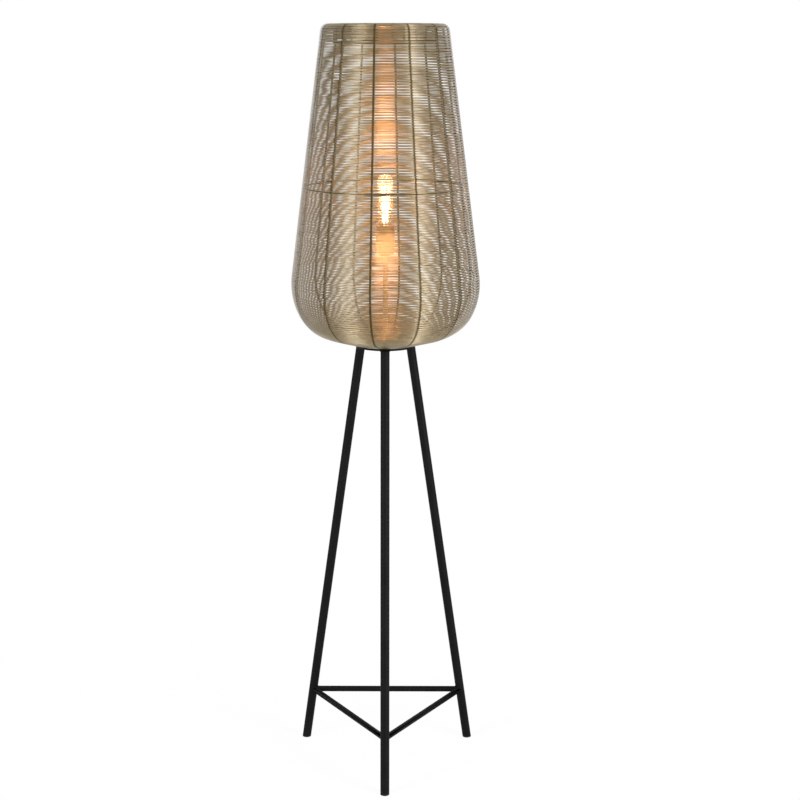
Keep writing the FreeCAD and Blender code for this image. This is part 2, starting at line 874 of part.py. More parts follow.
def make_bulb_glass():
    """The clear tube with a round end and a narrower neck in the cap."""
    wall = size("bulb_glass_wall")
    side = size("bulb_diameter") / 2
    top = bulb_top - neck_bottom
    neck_top = size("bulb_neck_depth") + wall
    shoulder = neck_top + size("bulb_shoulder")
    outline = [
        (neck_radius - wall, 0),
        (neck_radius, 0),
        (neck_radius, neck_top),
        (side, shoulder),
        (side, top - side),
        (0, top, side),
        (0, top - wall),
        (side - wall, top - side, (side - wall) * -1),
        (side - wall, shoulder),
        (neck_radius - wall, neck_top),
    ]
    return turned_body("bulb_glass", outline, neck_bottom)


def make_bulb_stem():
    """The glass foot inside the neck with the rod that holds the support wires."""
    flare = neck_radius - size("bulb_glass_wall") - size("stem_clearance")
    flare_top = size("stem_flare_height")
    stem = size("stem_diameter") / 2
    rod = size("stem_rod_diameter") / 2
    height = stem_top - stem_bottom
    top = upper_supports + support_radius * 2 - stem_bottom
    outline = [
        (0, 0),
        (flare, 0),
        (flare, flare_top),
        (stem, flare_top),
        (stem, height),
        (rod, height),
        (rod, top),
        (0, top),
    ]
    return turned_body("bulb_stem", outline, stem_bottom)


def filament_azimuth(index):
    return size("filament_azimuth").value + index * 360 / FILAMENT_COUNT


def make_filaments():
    """Upright light sticks round the stem's rod."""
    sticks = []
    for index in range(FILAMENT_COUNT):
        radius = size("filament_diameter") / 2
        stick = cylinder(f"filament_{index + 1}", radius, size("filament_length"))
        turn = Rotation(Vector(0, 0, 1), filament_azimuth(index))
        stick.Placement.Base = turn.multVec(Vector(size("filament_circle_radius").value, 0, 0))
        sticks.append(raise_to(stick, filament_bottom))
    return group("bulb_filaments", sticks)


def make_support_wires():
    """Short wires from the rod to both ends of each filament."""
    wires = []
    inner = size("stem_rod_diameter") / 2 + size("stem_clearance")
    length = size("filament_circle_radius") + size("filament_diameter") / 2 - inner
    for level, height in enumerate((lower_supports, upper_supports)):
        for index in range(FILAMENT_COUNT):
            wire = cylinder(f"support_{level}_{index}", support_radius, length)
            turn = Rotation(Vector(0, 0, 1), filament_azimuth(index))
            start = turn.multVec(Vector(inner.value, 0, 0))
            wire.Placement = Placement(start, turn * Rotation(Vector(0, 1, 0), 90))
            wires.append(raise_to(wire, height))
    return group("bulb_support_wires", wires)


# ---------------------------------------------------------------- assembly


def make_nodes():
    nodes = [make_leg(index) for index in range(len(LEG_NAMES))]
    nodes += [make_foot(index) for index in range(len(LEG_NAMES))]
    nodes += [make_stretcher(index) for index in range(len(STRETCHER_NAMES))]
    nodes.append(make_top_plate())
    nodes.append(torus("cage_base_ring", size("base_ring_radius"), rib_radius, rib_end_height))
    collar_ring_height = collar_bottom - rib_radius - size("weld_gap")
    nodes.append(torus("cage_collar_ring", size("collar_radius"), rib_radius, collar_ring_height))
    nodes.append(make_hoop())
    nodes += [make_rib(index) for index in range(RIB_COUNT)]
    layer = WindingLayer()
    nodes += [make_winding(index, layer) for index in range(WINDING_COUNT)]
    nodes += [make_crossbar(), make_tube(), make_plate_washers(), make_plate_nuts(), make_crossbar_nuts()]
    nodes += [make_nut("holder_locknut", holder_bottom - size("nut_height")), make_cord_bushing()]
    nodes.append(make_holder_cap())
    sleeve = pipe("holder_sleeve", holder_radius, holder_bore_radius, size("holder_sleeve_height"))
    nodes.append(raise_to(sleeve, sleeve_bottom))
    nodes += [make_holder_core(), make_holder_ring(), make_screw_shell(), make_spring_contact()]
    nodes += [make_bulb_button(), make_bulb_insulator(), make_bulb_cap(), make_bulb_glass()]
    nodes += [make_bulb_stem(), make_filaments(), make_support_wires()]
    return nodes


def check(nodes):
    """Stop at any failed object or bad shape, before anything is written."""
    for item in document.Objects:
        if "Invalid" in item.State or "Error" in item.State:
            raise ValueError(f"{item.Label} failed: {item.State}")
    for node in nodes:
        if node.Shape.isNull() or not node.Shape.isValid() or not node.Shape.Solids:
            raise ValueError(f"{node.Label} has no valid solid")


def main():
    nodes = make_nodes()
    document.recompute()
    check(nodes)
    os.makedirs("parts", exist_ok=True)
    for node in nodes:
        node.Shape.exportStep(f"parts/{node.Label}.step")
    print(f"{len(nodes)} nodes, {sum(len(node.Shape.Solids) for node in nodes)} solids")


main()
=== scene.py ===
"""Looks of the wire cage floor lamp: finishes, the wound wire, welds, threads and studio.

Everything is in metres in the part's own frame: +Z up, origin on the floor under the lamp's axis,
the front leg towards -Y.
"""

from __future__ import annotations

import logging
import math
import random
from dataclasses import dataclass, field
from enum import Enum
from typing import ClassVar

import bpy
from mathutils import Matrix, Vector

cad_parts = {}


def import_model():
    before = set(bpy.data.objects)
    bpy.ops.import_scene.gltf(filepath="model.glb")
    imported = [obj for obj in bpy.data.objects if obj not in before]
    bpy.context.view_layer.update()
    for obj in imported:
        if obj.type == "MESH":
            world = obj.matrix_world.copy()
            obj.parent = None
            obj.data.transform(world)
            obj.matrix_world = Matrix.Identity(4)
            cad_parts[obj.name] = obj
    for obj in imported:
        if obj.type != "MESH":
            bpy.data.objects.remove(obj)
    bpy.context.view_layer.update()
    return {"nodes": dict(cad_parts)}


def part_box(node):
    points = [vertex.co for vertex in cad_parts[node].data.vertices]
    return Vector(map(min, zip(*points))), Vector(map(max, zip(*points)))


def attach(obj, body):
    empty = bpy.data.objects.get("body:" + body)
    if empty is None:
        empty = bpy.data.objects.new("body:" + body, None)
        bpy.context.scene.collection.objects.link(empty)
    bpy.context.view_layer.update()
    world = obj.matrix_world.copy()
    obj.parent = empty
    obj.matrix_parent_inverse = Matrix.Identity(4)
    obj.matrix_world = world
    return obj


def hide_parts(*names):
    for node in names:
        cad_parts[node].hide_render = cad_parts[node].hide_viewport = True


LOG = logging.getLogger("wire_cage_floor_lamp")
MM = 0.001
UP = Vector((0.0, 0.0, 1.0))
WHITE = (1.0, 1.0, 1.0)

RIB_COUNT = 12
RIB_AZIMUTH = math.radians(261.0)

# The sharpest edges that are still shaded smooth, on copied nodes and on tubes.
FACET_EDGE = math.radians(35.0)
TUBE_EDGE = math.radians(60.0)
MERGE_DISTANCE = 0.002 * MM

# Octaves of the noises, and where the patches of a finish turn from dark to light.
GRAIN_DETAIL = 2.0
PATCH_DETAIL = 4.0
PATCH_RANGE = (0.3, 0.7)
# Length of one band of the Wave texture at a scale of 1.
WAVE_LENGTH = math.tau / 20

Colour = tuple[float, float, float]
Pair = tuple[float, float]


class Body(Enum):
    """The rigid bodies that pieces ride on."""

    LAMP = "lamp"
    BULB = "bulb"


class Slot(Enum):
    """The record's material slots."""

    BLACK_STEEL = "black_steel"
    BLACK_PLASTIC = "black_plastic"
    RIB_BRASS = "rib_brass"
    WIRE_BRASS = "wire_brass"
    ZINC_STEEL = "zinc_steel"
    HOLDER_BRASS = "holder_brass"
    PORCELAIN = "porcelain"
    CLEAR_GLASS = "clear_glass"
    STEM_GLASS = "stem_glass"
    FILAMENT = "filament"
    BULB_METAL = "bulb_metal"
    BLACK_GLASS = "black_glass"


# ---------------------------------------------------------------- shader expressions


class Value:
    """One output of a node, with arithmetic that adds Math nodes."""

    def __init__(self, shader: Shader, socket: bpy.types.NodeSocket) -> None:
        """Wrap a socket.

        Args:
            shader: The node tree that the socket belongs to.
            socket: The output that carries the value.
        """
        self.shader = shader
        self.socket = socket

    def combine(self, operation: str, other: object, swapped: bool = False) -> Value:
        """Join this value with another in a Math node.

        Args:
            operation: The Math node's operation.
            other: A value or a number.
            swapped: Whether the other one comes first.

        Returns:
            The node's output.
        """
        first, second = (other, self) if swapped else (self, other)
        return self.shader.node("ShaderNodeMath", {"operation": operation}, {0: first, 1: second})

    def __add__(self, other: object) -> Value:
        """Sum."""
        return self.combine("ADD", other)

    __radd__ = __add__

    def __sub__(self, other: object) -> Value:
        """Difference."""
        return self.combine("SUBTRACT", other)

    def __rsub__(self, other: object) -> Value:
        """Difference with this value on the right."""
        return self.combine("SUBTRACT", other, swapped=True)

    def __mul__(self, other: object) -> Value:
        """Product."""
        return self.combine("MULTIPLY", other)

    __rmul__ = __mul__

    def __pow__(self, other: object) -> Value:
        """Power."""
        return self.combine("POWER", other)

    def output(self, name: str) -> Value:
        """Another output of the same node.

        Args:
            name: The output's name.

        Returns:
            That output.
        """
        return Value(self.shader, self.socket.node.outputs[name])


class Shader:
    """The node tree of a material or world, and the one method that adds nodes to it."""

    def __init__(self, block: bpy.types.Material | bpy.types.World) -> None:
        """Start with an empty tree.

        Args:
            block: The new material or world.
        """
        block.use_nodes = True
        self.block = block
        self.tree = block.node_tree
        self.tree.nodes.clear()

    def node(self, kind: str, settings: dict | None = None, inputs: dict | None = None) -> Value:
        """Add a node.

        Args:
            kind: The node's type name.
            settings: Properties, set before the sockets; a list under "stops" fills a colour ramp.
            inputs: Values or links by socket name or number.

        Returns:
            The node's first output.
        """
        made = self.tree.nodes.new(kind)
        for key, setting in (settings or {}).items():
            if key == "stops":
                self._fill_ramp(made.color_ramp, setting)
            else:
                setattr(made, key, setting)
        for key, value in (inputs or {}).items():
            socket = made.inputs[key]
            if isinstance(value, Value):
                self.tree.links.new(value.socket, socket)
            elif isinstance(value, tuple) and len(value) == 3 and socket.type == "RGBA":
                socket.default_value = (*value, 1.0)
            else:
                socket.default_value = value
        outputs = made.outputs
        return Value(self, outputs[0]) if len(outputs) else Value(self, None)

    @staticmethod
    def _fill_ramp(ramp: bpy.types.ColorRamp, stops: list[tuple[float, Colour]]) -> None:
        """Set a colour ramp's stops.

        Args:
            ramp: The ramp.
            stops: Positions with their colours.
        """
        while len(ramp.elements) < len(stops):
            ramp.elements.new(1.0)
        for element, (position, colour) in zip(ramp.elements, stops):
            element.position = position
            element.color = (*colour, 1.0)

    def place(self) -> Value:
        """Object coordinates.

        Returns:
            The coordinates.
        """
        return self.node("ShaderNodeTexCoord").output("Object")

    def noise(self, scale: float, detail: float = 3.0) -> Value:
        """Fractal noise between 0 and 1.

        Args:
            scale: Waves per metre.
            detail: Octaves.

        Returns:
            The noise value.
        """
        inputs = {"Vector": self.place(), "Scale": scale, "Detail": detail}
        return self.node("ShaderNodeTexNoise", None, inputs)

    def ramp(self, factor: Value, positions: tuple, colours: tuple[Colour, ...]) -> Value:
        """A colour ramp.

        Args:
            factor: What drives it.
            positions: Where its colours stand, from 0 to 1.
            colours: The colours.

        Returns:
            The colour.
        """
        stops = list(zip(positions, colours))
        return self.node("ShaderNodeValToRGB", {"stops": stops}, {"Fac": factor})

    def span(
        self, value: Value, source: Pair, target: Pair = (0.0, 1.0), smooth: bool = False
    ) -> Value:
        """Map one range onto another, held at both ends.

        Args:
            value: What is mapped.
            source: The range that it comes from.
            target: The range that it goes to.
            smooth: Whether it eases in and out.

        Returns:
            The mapped value.
        """
        settings = {"clamp": True, "interpolation_type": "SMOOTHSTEP" if smooth else "LINEAR"}
        sockets = ("From Min", "From Max", "To Min", "To Max")
        inputs = {"Value": value, **dict(zip(sockets, (*source, *target)))}
        return self.node("ShaderNodeMapRange", settings, inputs)

    def bump(self, height: Value, distance: float) -> Value:
        """A bump normal.

        Args:
            height: The height field, 0 to 1.
            distance: Metres between 0 and 1.

        Returns:
            The normal.
        """
        return self.node("ShaderNodeBump", None, {"Height": height, "Distance": distance})


# ---------------------------------------------------------------- finishes


@dataclass(frozen=True)
class Finish:
    """A material that ends in a Principled surface."""

    name: str

    def surface(self, shader: Shader) -> dict[str, object]:
        """Add the nodes that drive the surface.

        Args:
            shader: Where the nodes go.

        Returns:
            Numbers, colours and links by the surface's sockets.
        """
        raise NotImplementedError

    def build(self) -> bpy.types.Material:
        """Make the material.

        Returns:
            The material.
        """
        shader = Shader(bpy.data.materials.new(self.name))
        surface = shader.node("ShaderNodeBsdfPrincipled", None, self.surface(shader))
        shader.node("ShaderNodeOutputMaterial", None, {"Surface": surface})
        return shader.block

    @staticmethod
    def vary(middle: float, noise: Value, spread: float) -> Value:
        """Let a number wander round its middle.

        Args:
            middle: The number.
            noise: What moves it, between 0 and 1.
            spread: How far its extremes are apart.

        Returns:
            The uneven number.
        """
        return middle + (noise - 0.5) * spread


@dataclass(frozen=True)
class Metal(Finish):
    """A bare or plated metal with fine grain and slight tarnish."""

    light: Colour
    dark: Colour
    roughness: float
    roughness_spread: float = 0.1
    patch_scale: float = 40.0
    grain_scale: float = 900.0
    grain_depth: float = 0.02 * MM

    def surface(self, shader: Shader) -> dict[str, object]:
        """See Finish."""
        patches = shader.noise(self.patch_scale, PATCH_DETAIL)
        grain = shader.noise(self.grain_scale, GRAIN_DETAIL)
        return {
            "Base Color": shader.ramp(patches, PATCH_RANGE, (self.dark, self.light)),
            "Metallic": 1.0,
            "Roughness": self.vary(self.roughness, patches, self.roughness_spread),
            "Normal": shader.bump(grain, self.grain_depth),
        }


@dataclass(frozen=True)
class WeldMarkedShadedWire(Finish):
    """Lacquered brass wire that is darker and duller where it crosses the ribs: a weld mark with
    painted contact shade.
    """

    light: Colour
    dark: Colour
    # Colour of the weld marks with painted contact shade, where the wire crosses the ribs.
    weld_mark_and_shade: Colour
    roughness: float
    roughness_spread: float = 0.08
    metallic: float = 0.65
    lacquer: float = 1.0
    lacquer_roughness: float = 0.3
    lacquer_ior: float = 1.75
    patch_scale: float = 90.0
    grain_scale: float = 1400.0
    grain_depth: float = 0.01 * MM
    weld_mark_and_shade_width: Pair = (1.3 * MM, 2.8 * MM)
    mark_dulling: float = 0.2

    def surface(self, shader: Shader) -> dict[str, object]:
        """See Finish."""
        split = shader.node("ShaderNodeSeparateXYZ", None, {0: shader.place()})
        across, along = split.output("X"), split.output("Y")
        angle = along.combine("ARCTAN2", across) - RIB_AZIMUTH
        swing = angle.combine("PINGPONG", math.pi / RIB_COUNT)
        axis_distance = (across * across + along * along) ** 0.5
        # Painted contact shade with the weld marks: the wire is darker in a band where it crosses
        # each rib.
        clear = shader.span(swing * axis_distance, self.weld_mark_and_shade_width, smooth=True)
        patches = shader.noise(self.patch_scale, PATCH_DETAIL)
        grain = shader.noise(self.grain_scale, GRAIN_DETAIL)
        bare = shader.ramp(patches, PATCH_RANGE, (self.dark, self.light))
        mixed = {"Factor": clear, "A": self.weld_mark_and_shade, "B": bare}
        colour = shader.node("ShaderNodeMix", {"data_type": "RGBA"}, mixed).output("Result")
        dulling = (1.0 - clear) * self.mark_dulling
        return {
            "Base Color": colour,
            "Metallic": self.metallic,
            "Roughness": self.vary(self.roughness, patches, self.roughness_spread) + dulling,
            "Coat Weight": self.lacquer * clear,
            "Coat Roughness": self.lacquer_roughness,
            "Coat IOR": self.lacquer_ior,
            "Normal": shader.bump(grain, self.grain_depth),
        }


@dataclass(frozen=True)
class ThreadedMetal(Finish):
    """Metal with a fine cut thread round the lamp's axis."""

    colour: Colour
    roughness: float
    pitch: float
    depth: float
    roughness_spread: float = 0.1
    shade: float = 0.7
    patch_scale: float = 60.0
    patch_range: Pair = (0.35, 0.65)

    def surface(self, shader: Shader) -> dict[str, object]:
        """See Finish."""
        settings = {"wave_type": "BANDS", "bands_direction": "Z", "wave_profile": "TRI"}
        inputs = {"Vector": shader.place(), "Scale": WAVE_LENGTH / self.pitch, "Distortion": 0.0}
        waves = shader.node("ShaderNodeTexWave", settings, inputs).output("Fac")
        patches = shader.noise(self.patch_scale)
        dark = tuple(channel * self.shade for channel in self.colour)
        return {
            "Base Color": shader.ramp(patches, self.patch_range, (dark, self.colour)),
            "Metallic": 1.0,
            "Roughness": self.vary(self.roughness, patches, self.roughness_spread),
            "Normal": shader.bump(waves, self.depth),
        }


@dataclass(frozen=True)
class Coat(Finish):
    """A non-metal skin: powder coat, plastic or glaze."""

    light: Colour
    dark: Colour
    roughness: float
    specular: float
    roughness_spread: float = 0.12
    patch_scale: float = 25.0
    peel_scale: float = 1200.0
    peel_depth: float = 0.03 * MM
    clear_coat: float = 0.0

    def surface(self, shader: Shader) -> dict[str, object]:
        """See Finish."""
        patches = shader.noise(self.patch_scale, PATCH_DETAIL)
        peel = shader.noise(self.peel_scale, GRAIN_DETAIL)
        return {
            "Base Color": shader.ramp(patches, PATCH_RANGE, (self.dark, self.light)),
            "Roughness": self.vary(self.roughness, patches, self.roughness_spread),
            "Specular IOR Level": self.specular,
            "Coat Weight": self.clear_coat,
            "Normal": shader.bump(peel, self.peel_depth),
        }


@dataclass(frozen=True)
class ClearGlass(Finish):
    """Thin clear glass with faint smears."""

    tint: Colour
    alpha: float
    roughness: float = 0.05
    smear: float = 0.05
    smear_scale: float = 80.0

    def surface(self, shader: Shader) -> dict[str, object]:
        """See Finish."""
        return {
            "Base Color": self.tint,
            "Roughness": self.roughness + shader.noise(self.smear_scale) * self.smear,
            "Transmission Weight": 1.0,
            "Alpha": self.alpha,
        }


@dataclass(frozen=True)
class GlowingGlass(ClearGlass):
    """The bulb's thin glass, with the warm haze of the lit filaments in it."""

    haze_heights: Pair = (1118.0 * MM, 1222.0 * MM)
    haze_strength: float = 1.9
    haze_positions: tuple[float, ...] = (0.0, 0.35, 0.62, 0.82, 1.0)
    haze_colours: tuple[Colour, ...] = (
        (0.0, 0.0, 0.0),
        (0.50, 0.20, 0.04),
        (1.0, 0.45, 0.12),
        (1.0, 0.70, 0.38),
        (1.0, 0.70, 0.38),
    )

    def surface(self, shader: Shader) -> dict[str, object]:
        """See Finish."""
        height = shader.node("ShaderNodeSeparateXYZ", None, {0: shader.place()}).output("Z")
        share = shader.span(height, self.haze_heights)
        haze = shader.ramp(share, self.haze_positions, self.haze_colours)
        glow = {"Emission Color": haze, "Emission Strength": self.haze_strength}
        return {**super().surface(shader), **glow}


@dataclass(frozen=True)
class Light(Finish):
    """A light-giving stick, slightly uneven along its length."""

    bright: Colour
    dim: Colour
    strength: float
    roughness: float = 0.5
    bead_scale: float = 500.0
    bead_detail: float = 1.0
    bead_range: Pair = (0.3, 0.6)

    def surface(self, shader: Shader) -> dict[str, object]:
        """See Finish."""
        beads = shader.noise(self.bead_scale, self.bead_detail)
        return {
            "Base Color": self.bright,
            "Roughness": self.roughness,
            "Emission Color": shader.ramp(beads, self.bead_range, (self.dim, self.bright)),
            "Emission Strength": self.strength,
        }


def slot_finishes() -> dict[Slot, Finish]:
    """The finish of each slot.

    Returns:
        Finishes by slot.
    """
    return {
        Slot.BLACK_STEEL: Coat(
            "black_powder_coat",
            light=(0.0055, 0.0055, 0.0058),
            dark=(0.0035, 0.0035, 0.0038),
            roughness=0.5,
            specular=0.05,
        ),
        Slot.BLACK_PLASTIC: Coat(
            "black_plastic",
            light=(0.010, 0.010, 0.010),
            dark=(0.007, 0.007, 0.007),
            roughness=0.6,
            specular=0.2,
        ),
        Slot.RIB_BRASS: Metal(
            "rib_brass",
            light=(0.075, 0.052, 0.019),
            dark=(0.045, 0.030, 0.011),
            roughness=0.38,
            roughness_spread=0.12,
            patch_scale=30.0,
        ),
        Slot.WIRE_BRASS: WeldMarkedShadedWire(
            "wire_brass",
            light=(0.205, 0.145, 0.042),
            dark=(0.130, 0.088, 0.023),
            # Weld marks with painted contact shade, where the wire crosses the ribs.
            weld_mark_and_shade=(0.070, 0.050, 0.017),
            roughness=0.3,
        ),
        Slot.ZINC_STEEL: Metal(
            "zinc_steel", light=(0.55, 0.50, 0.40), dark=(0.42, 0.38, 0.30), roughness=0.35
        ),
        Slot.HOLDER_BRASS: Metal(
            "holder_brass",
            light=(0.50, 0.28, 0.08),
            dark=(0.40, 0.21, 0.055),
            roughness=0.3,
            roughness_spread=0.08,
            patch_scale=25.0,
        ),
        Slot.PORCELAIN: Coat(
            "porcelain",
            light=(0.80, 0.78, 0.72),
            dark=(0.74, 0.72, 0.66),
            roughness=0.25,
            specular=0.5,
            peel_scale=400.0,
            peel_depth=0.02 * MM,
            clear_coat=0.3,
        ),
        Slot.CLEAR_GLASS: GlowingGlass(
            "bulb_glass_glow",
            tint=(1.0, 0.9, 0.75),
            alpha=0.25,
            roughness=0.03,
            smear=0.04,
            smear_scale=50.0,
        ),
        Slot.STEM_GLASS: ClearGlass("stem_glass_clear", tint=(0.95, 0.95, 0.92), alpha=0.35),
        Slot.FILAMENT: Light(
            "filament_light", bright=(1.0, 0.80, 0.55), dim=(1.0, 0.72, 0.42), strength=13.0
        ),
        Slot.BULB_METAL: ThreadedMetal(
            "bulb_cap_metal",
            colour=(0.72, 0.70, 0.64),
            roughness=0.3,
            pitch=3.6 * MM,
            depth=0.4 * MM,
        ),
        Slot.BLACK_GLASS: Coat(
            "black_cap_glass",
            light=(0.012, 0.012, 0.012),
            dark=(0.008, 0.008, 0.008),
            roughness=0.15,
            specular=0.6,
        ),
    }


def node_finishes() -> dict[str, Finish]:
    """The finish of each node that doesn't take its slot's.

    Returns:
        Finishes by node name.
    """
    thread = ThreadedMetal(
        "threaded_tube_metal",
        colour=(0.60, 0.46, 0.24),
        roughness=0.3,
        pitch=1.0 * MM,
        depth=0.2 * MM,
    )
    return {"threaded_tube": thread}


# ---------------------------------------------------------------- modelling helpers


def deselect_all() -> None:
    """Leave edit mode and select nothing."""
    if bpy.context.object and bpy.context.object.mode != "OBJECT":
        bpy.ops.object.mode_set(mode="OBJECT")
    bpy.ops.object.select_all(action="DESELECT")


def make_active(piece: bpy.types.Object) -> None:
    """Select one piece only and make it active.

    Args:
        piece: The piece.
    """
    deselect_all()
    piece.select_set(True)
    bpy.context.view_layer.objects.active = piece


def add_object(name: str, data: bpy.types.ID) -> bpy.types.Object:
    """Put new data into the scene.

    Args:
        name: The object's name.
        data: Its mesh, curve, light or camera.

    Returns:
        The object.
    """
    made = bpy.data.objects.new(name, data)
    bpy.context.scene.collection.objects.link(made)
    return made


def smooth_copy(node: bpy.types.Object, name: str) -> bpy.types.Object:
    """Copy a node's mesh, merge its loose triangles and smooth its round faces.

    Args:
        node: The node.
        name: The copy's name.

    Returns:
        The copy.
    """
    piece = add_object(name, node.data.copy())
    make_active(piece)
    bpy.ops.object.mode_set(mode="EDIT")
    bpy.ops.mesh.select_all(action="SELECT")
    bpy.ops.mesh.remove_doubles(threshold=MERGE_DISTANCE)
    bpy.ops.object.mode_set(mode="OBJECT")
    bpy.ops.object.shade_smooth_by_angle(angle=FACET_EDGE)
    return piece


@dataclass
class Tube:
    """A round tube along one or more runs of points.

    Its ripple is the share by which the radius swells and shrinks from point to point.
    """

    name: str
    radius: float
    resolution: int = 2
    closed: bool = False
    ripple: float = 0.0

    def build(self, runs: list[list[Vector]]) -> bpy.types.Object:
        """Make the tube as a smooth mesh.

        Args:
            runs: The points along each axis.

        Returns:
            The piece.
        """
        curve = bpy.data.curves.new(f"{self.name}_axis", "CURVE")
        curve.dimensions = "3D"
        curve.bevel_depth = self.radius
        curve.bevel_resolution = self.resolution
        curve.use_fill_caps = not self.closed
        for run in runs:
            spline = curve.splines.new("POLY")
            spline.points.add(len(run) - 1)
            spline.use_cyclic_u = self.closed
            for number, (point, spot) in enumerate(zip(spline.points, run)):
                point.co = (*spot, 1.0)
                point.radius = 1.0 + self.ripple * math.cos(math.pi * number)
        make_active(add_object(self.name, curve))
        bpy.ops.object.convert(target="MESH")
        bpy.ops.object.shade_smooth_by_angle(angle=TUBE_EDGE)
        return bpy.context.object


class Palette:
    """The finished materials, and what puts them on the pieces."""

    def __init__(self) -> None:
        """Build every material once."""
        self.by_slot = {slot: finish.build() for slot, finish in slot_finishes().items()}
        self.by_node = {name: finish.build() for name, finish in node_finishes().items()}

    def settle(self, piece: bpy.types.Object, body: Body, slot: Slot, *replaced: str) -> None:
        """Give a piece its only material, hang it on its body's empty, and hide the nodes that it
        stands for.

        Args:
            piece: The piece.
            body: The body that it moves with.
            slot: The record's slot.
            replaced: Nodes that it stands for.
        """
        material = self.by_slot[slot]
        for name in replaced:
            material = self.by_node.get(name, material)
        piece.data.materials.clear()
        piece.data.materials.append(material)
        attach(piece, body.value)
        if replaced:
            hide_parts(*replaced)

    def show(
        self, nodes: dict, names: tuple[str, ...], suffix: str, slot: Slot, body: Body = Body.LAMP
    ) -> None:
        """Show a finished copy in the place of each of some nodes.

        Args:
            nodes: The frame's nodes by name.
            names: The nodes to copy.
            suffix: What the copies' names end in.
            slot: The record's slot.
            body: The body that they move with.
        """
        for name in names:
            self.settle(smooth_copy(nodes[name], f"{name}_{suffix}"), body, slot, name)


# ---------------------------------------------------------------- cage outline


@dataclass
class CageOutline:
    """The section of the cage from the collar over the lip to the plate, in radius and height."""

    collar_radius: float = 100.4 * MM
    collar_bottom: float = 1479.0 * MM
    lip_radius: float = 11.4 * MM
    lip_height: float = 1496.45 * MM
    taper: float = math.radians(7.29)
    upper_radius: float = 131.6 * MM
    lower_radius: float = 85.4 * MM
    middle_angle: float = math.radians(26.65)
    base_slope: float = math.radians(15.17)
    end_radius: float = 61.2 * MM
    end_height: float = 885.2 * MM
    offset: float = 3.2 * MM

    def __post_init__(self) -> None:
        """Work out the segments from the sizes."""
        base_normal = math.pi / 2 - self.base_slope
        upper, lower = self.upper_radius, self.lower_radius
        lip_centre = (self.collar_radius + self.lip_radius, self.lip_height)
        wall_top = self.polar(lip_centre, self.lip_radius, self.taper)
        width = upper * (math.cos(self.middle_angle) - math.cos(self.taper))
        width += lower * (math.cos(base_normal) - math.cos(self.middle_angle))
        depth = upper * (math.sin(self.taper) + math.sin(self.middle_angle))
        depth += lower * (math.sin(base_normal) - math.sin(self.middle_angle))
        drop = wall_top[1] - self.end_height - depth
        lean = math.tan(self.taper)
        spread = wall_top[0] + width - self.end_radius + drop * lean
        base_length = spread / (math.cos(self.base_slope) + math.sin(self.base_slope) * lean)
        belly_start = self.end_height + depth + base_length * math.sin(self.base_slope)
        wall_length = (wall_top[1] - belly_start) / math.cos(self.taper)
        wall_end = self.polar(wall_top, wall_length, self.taper - math.pi / 2)
        upper_centre = self.polar(wall_end, -upper, self.taper)
        lower_centre = self.polar(upper_centre, upper - lower, -self.middle_angle)
        collar = self.collar_radius - self.offset
        base_start = self.polar(lower_centre, lower + self.offset, -base_normal)
        self.segments = [
            ("line", (collar, self.collar_bottom), (collar, self.lip_height)),
            ("arc", lip_centre, self.lip_radius + self.offset, math.pi, self.taper),
            (
                "line",
                self.polar(lip_centre, self.lip_radius + self.offset, self.taper),
                self.polar(upper_centre, upper + self.offset, self.taper),
            ),
            ("arc", upper_centre, upper + self.offset, self.taper, -self.middle_angle),
            ("arc", lower_centre, lower + self.offset, -self.middle_angle, -base_normal),
            ("line", base_start, self.polar(base_start, base_length, self.base_slope + math.pi)),
        ]
        self.lengths = [self._length(segment) for segment in self.segments]
        self.length = sum(self.lengths)

    @staticmethod
    def polar(centre: Pair, radius: float, angle: float) -> Pair:
        """A point at a distance and angle from a centre.

        Args:
            centre: The centre.
            radius: The distance.
            angle: The angle from the outward direction, up.

        Returns:
            The point.
        """
        return (centre[0] + radius * math.cos(angle), centre[1] + radius * math.sin(angle))

    @staticmethod
    def _length(segment: tuple) -> float:
        """Length of a segment.

        Args:
            segment: A line with its ends, or an arc with centre, radius and both angles.

        Returns:
            Metres.
        """
        if segment[0] == "line":
            return math.dist(segment[1], segment[2])
        return segment[2] * abs(segment[3] - segment[4])

    def at(self, distance: float) -> Pair:
        """Position at a distance along the outline.

        Args:
            distance: Metres from the collar's lower edge.

        Returns:
            Radius and height.
        """
        for segment, length in zip(self.segments, self.lengths):
            if distance <= length or segment is self.segments[-1]:
                break
            distance -= length
        share = distance / length
        if segment[0] == "arc":
            angle = segment[3] + (segment[4] - segment[3]) * share
            return self.polar(segment[1], segment[2], angle)
        (r0, z0), (r1, z1) = segment[1:]
        return (r0 + (r1 - r0) * share, z0 + (z1 - z0) * share)


# ---------------------------------------------------------------- wire cage


